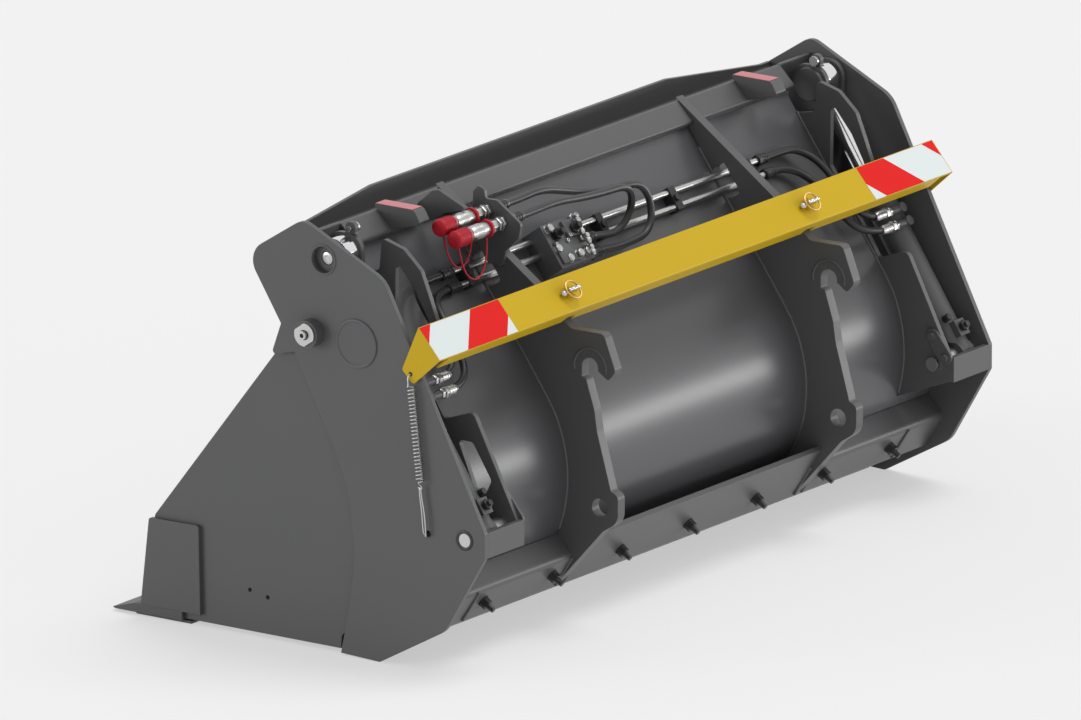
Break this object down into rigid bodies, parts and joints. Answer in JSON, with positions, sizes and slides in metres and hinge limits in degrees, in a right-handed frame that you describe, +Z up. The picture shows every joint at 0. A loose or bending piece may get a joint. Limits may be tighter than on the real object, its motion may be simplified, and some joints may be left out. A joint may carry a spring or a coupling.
{
  "type": "four-in-one loader bucket",
  "caption": "Wheel loader bucket whose hinged front clam opens by hydraulic cylinders inside side channels, with coupler plates and a warning bar at the rear.",
  "frame": {"origin": "on the floor, midway across the width and midway between the lip and the rearmost corner", "axes": "+X to the operator's left along the width, +Y rearwards to the machine, +Z up"},
  "size_m": [1.958, 0.967, 0.928],
  "materials": {
    "dark_paint": "satin",
    "yellow_paint": "satin",
    "zinc_steel": "satin",
    "chrome_rod": "polished",
    "hose_rubber": "matte",
    "red_plastic": "matte"
  },
  "bodies": {
    "moldboard": {"back_shell": "dark_paint", "base_keepers": "dark_paint", "base_pins": "zinc_steel", "cap_strap_lower": "hose_rubber", "cap_strap_upper": "hose_rubber", "channel_cap_left": "dark_paint", "channel_cap_right": "dark_paint", "coupler_plate_left": "dark_paint", "coupler_plate_right": "dark_paint", "coupling_bracket": "dark_paint", "edge_bolts": "dark_paint", "guard_bar": "yellow_paint", "guard_spring_left": "zinc_steel", "guard_spring_right": "zinc_steel", "guard_studs": "zinc_steel", "hose_fittings": "zinc_steel", "hose_left_a": "hose_rubber", "hose_left_b": "hose_rubber", "hose_right_a": "hose_rubber", "hose_right_b": "hose_rubber", "hose_supply_a": "hose_rubber", "hose_supply_b": "hose_rubber", "inner_plate_left": "dark_paint", "inner_plate_right": "dark_paint", "linchpins": "zinc_steel", "lower_beam": "dark_paint", "marker_brackets": "dark_paint", "moldboard_edge": "dark_paint", "pipe_clamps": "dark_paint", "pivot_pins": "dark_paint", "pivot_washers": "zinc_steel", "quick_couplings": "zinc_steel", "side_plate_left": "dark_paint", "side_plate_right": "dark_paint", "spill_guard": "dark_paint", "steel_pipes": "zinc_steel", "top_beam": "dark_paint", "valve_block": "dark_paint"},
    "clam": {"clam_side_left": "dark_paint", "clam_side_right": "dark_paint", "clam_floor": "dark_paint", "cutting_edge": "dark_paint", "skid_strips": "dark_paint", "corner_wear_plates": "dark_paint", "clam_lugs": "dark_paint", "pivot_bushes": "dark_paint", "rod_pins": "zinc_steel", "keeper_bolts": "zinc_steel"},
    "barrel_left": {"barrel_left": "dark_paint", "gland_left": "dark_paint"},
    "rod_left": {"rod_left": "chrome_rod", "piston_left": "dark_paint"},
    "pin_ring_left": {"pin_ring_left": "zinc_steel"},
    "barrel_right": {"barrel_right": "dark_paint", "gland_right": "dark_paint"},
    "rod_right": {"rod_right": "chrome_rod", "piston_right": "dark_paint"},
    "pin_ring_right": {"pin_ring_right": "zinc_steel"},
    "dust_cap_upper": {"dust_cap_upper": "red_plastic"},
    "dust_cap_lower": {"dust_cap_lower": "red_plastic"}
  },
  "joints": [
    {"name": "clam_hinge", "type": "hinge", "parent": "moldboard", "child": "clam", "pos_m": [0, 0.0415, 0.693], "axis": [1, 0, 0], "range_deg": [-60, 0]},
    {"name": "barrel_swing_left", "type": "hinge", "parent": "moldboard", "child": "barrel_left", "pos_m": [0.882, 0.4325, 0.301], "axis": [1, 0, 0], "range_deg": [-6.54, 0]},
    {"name": "rod_slide_left", "type": "slide", "parent": "barrel_left", "child": "rod_left", "axis": [0, -0.5488, 0.836], "range_m": [-0.14913, 0]},
    {"name": "barrel_swing_right", "type": "hinge", "parent": "moldboard", "child": "barrel_right", "pos_m": [-0.882, 0.4325, 0.301], "axis": [1, 0, 0], "range_deg": [-6.54, 0]},
    {"name": "rod_slide_right", "type": "slide", "parent": "barrel_right", "child": "rod_right", "axis": [0, -0.5488, 0.836], "range_m": [-0.14913, 0]},
    {"name": "ring_flip_left", "type": "hinge", "parent": "moldboard", "child": "pin_ring_left", "pos_m": [0.462, 0.35939, 0.7259], "axis": [0, 0.6518, -0.7584], "range_deg": [0, 150]},
    {"name": "ring_flip_right", "type": "hinge", "parent": "moldboard", "child": "pin_ring_right", "pos_m": [-0.42, 0.35939, 0.7259], "axis": [0, 0.6518, -0.7584], "range_deg": [0, 150]},
    {"name": "cap_pull_upper", "type": "slide", "parent": "moldboard", "child": "dust_cap_upper", "axis": [1, 0, 0], "range_m": [0, 0.06]},
    {"name": "cap_pull_lower", "type": "slide", "parent": "moldboard", "child": "dust_cap_lower", "axis": [1, 0, 0], "range_m": [0, 0.06]}
  ],
  "couplings": [
    {"joint": "barrel_swing_left", "follows": "clam_hinge", "ratio": 0.109},
    {"joint": "rod_slide_left", "follows": "clam_hinge", "m_per_rad": 0.1424},
    {"joint": "barrel_swing_right", "follows": "clam_hinge", "ratio": 0.109},
    {"joint": "rod_slide_right", "follows": "clam_hinge", "m_per_rad": 0.1424}
  ]
}
